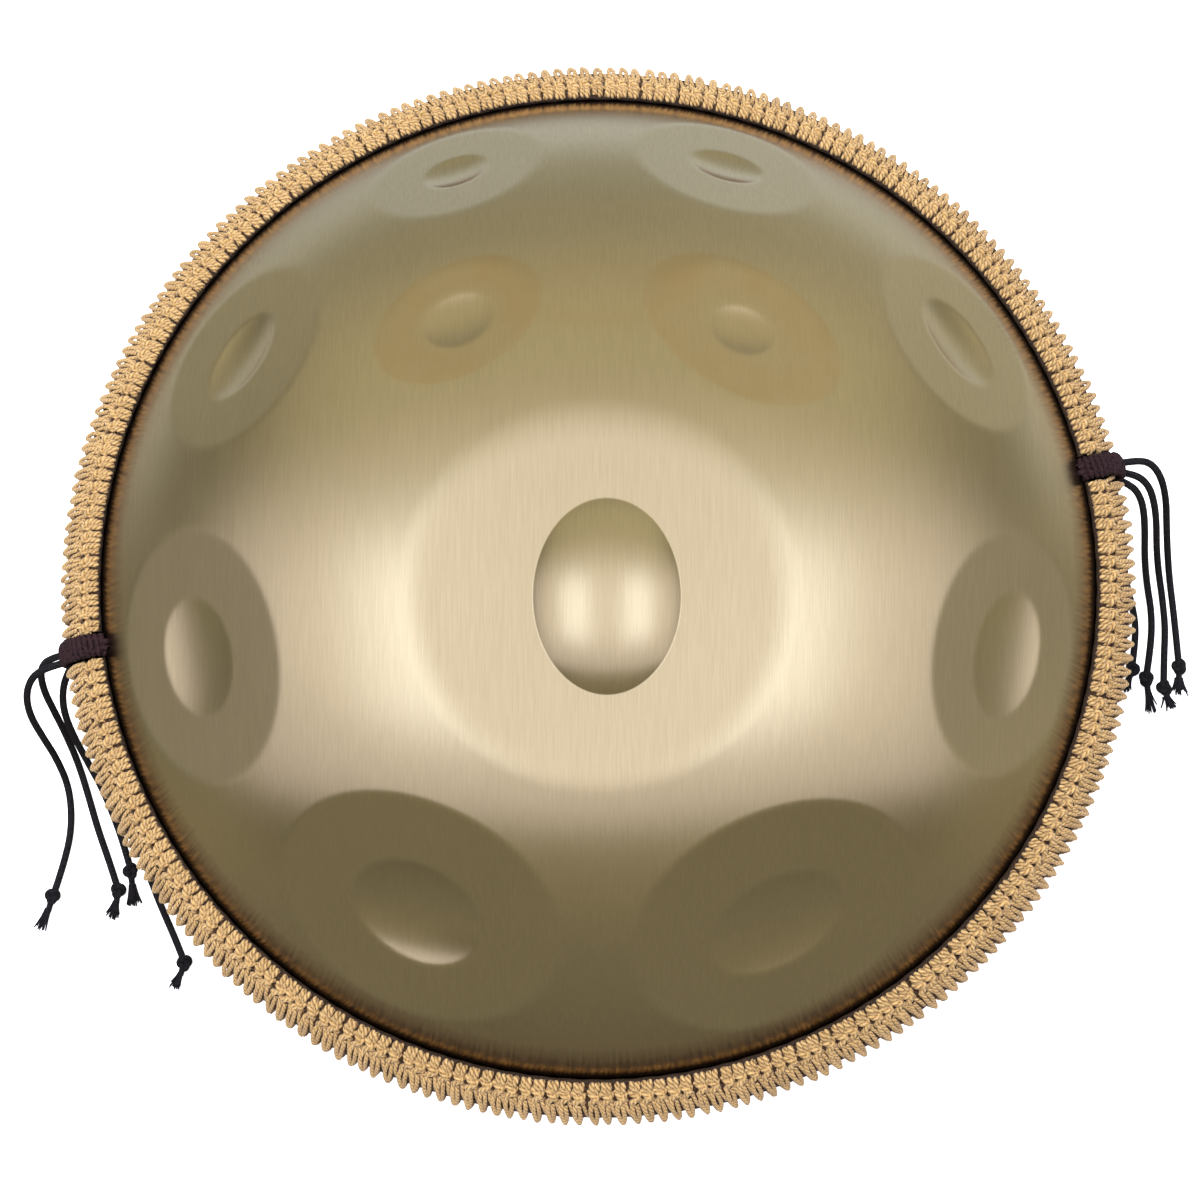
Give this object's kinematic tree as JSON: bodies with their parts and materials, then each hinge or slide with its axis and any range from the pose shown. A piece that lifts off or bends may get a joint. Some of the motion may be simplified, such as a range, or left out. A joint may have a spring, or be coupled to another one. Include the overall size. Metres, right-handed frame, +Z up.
{
  "type": "handpan",
  "caption": "Hand-played steel percussion instrument: two domed shells joined at a rim, dimpled tone fields, a raised central ding, a port below and a laced rope rim band.",
  "frame": {"origin": "centre of the flat land round the port in the bottom shell, on the surface the instrument rests on", "axes": "+Z up through the crown of the playing side; -Y towards the player, +X to the player's right"},
  "size_m": [0.6572, 0.5686, 0.2386],
  "materials": {
    "steel_top": "satin champagne-gold heat-treated steel, finely brushed",
    "steel_bottom": "satin champagne-gold heat-treated steel, finely brushed",
    "adhesive": "cured epoxy",
    "jute_rope": "twisted tan jute cord, knotted in a macrame braid",
    "black_cord": "round black braided cord",
    "tie_cord": "dark maroon-brown cord, wrapped and knotted"
  },
  "bodies": {
    "root": {"top_shell": "steel_top", "bottom_shell": "steel_bottom", "seam_adhesive": "adhesive", "rope_band_far": "jute_rope", "rope_band_near": "jute_rope", "drawcord_upper_far": "black_cord", "drawcord_upper_near": "black_cord", "drawcord_lower_far": "black_cord", "drawcord_lower_near": "black_cord", "slide_knot_left": "tie_cord", "slide_knot_right": "tie_cord", "tail_left_a": "black_cord", "tail_left_b": "black_cord", "tail_left_c": "black_cord", "tail_left_d": "black_cord", "tail_right_a": "black_cord", "tail_right_b": "black_cord", "tail_right_c": "black_cord", "tail_right_d": "black_cord", "end_knot_left_a": "black_cord", "end_knot_left_b": "black_cord", "end_knot_left_c": "black_cord", "end_knot_left_d": "black_cord", "end_knot_right_a": "black_cord", "end_knot_right_b": "black_cord", "end_knot_right_c": "black_cord", "end_knot_right_d": "black_cord"}
  },
  "joints": []
}
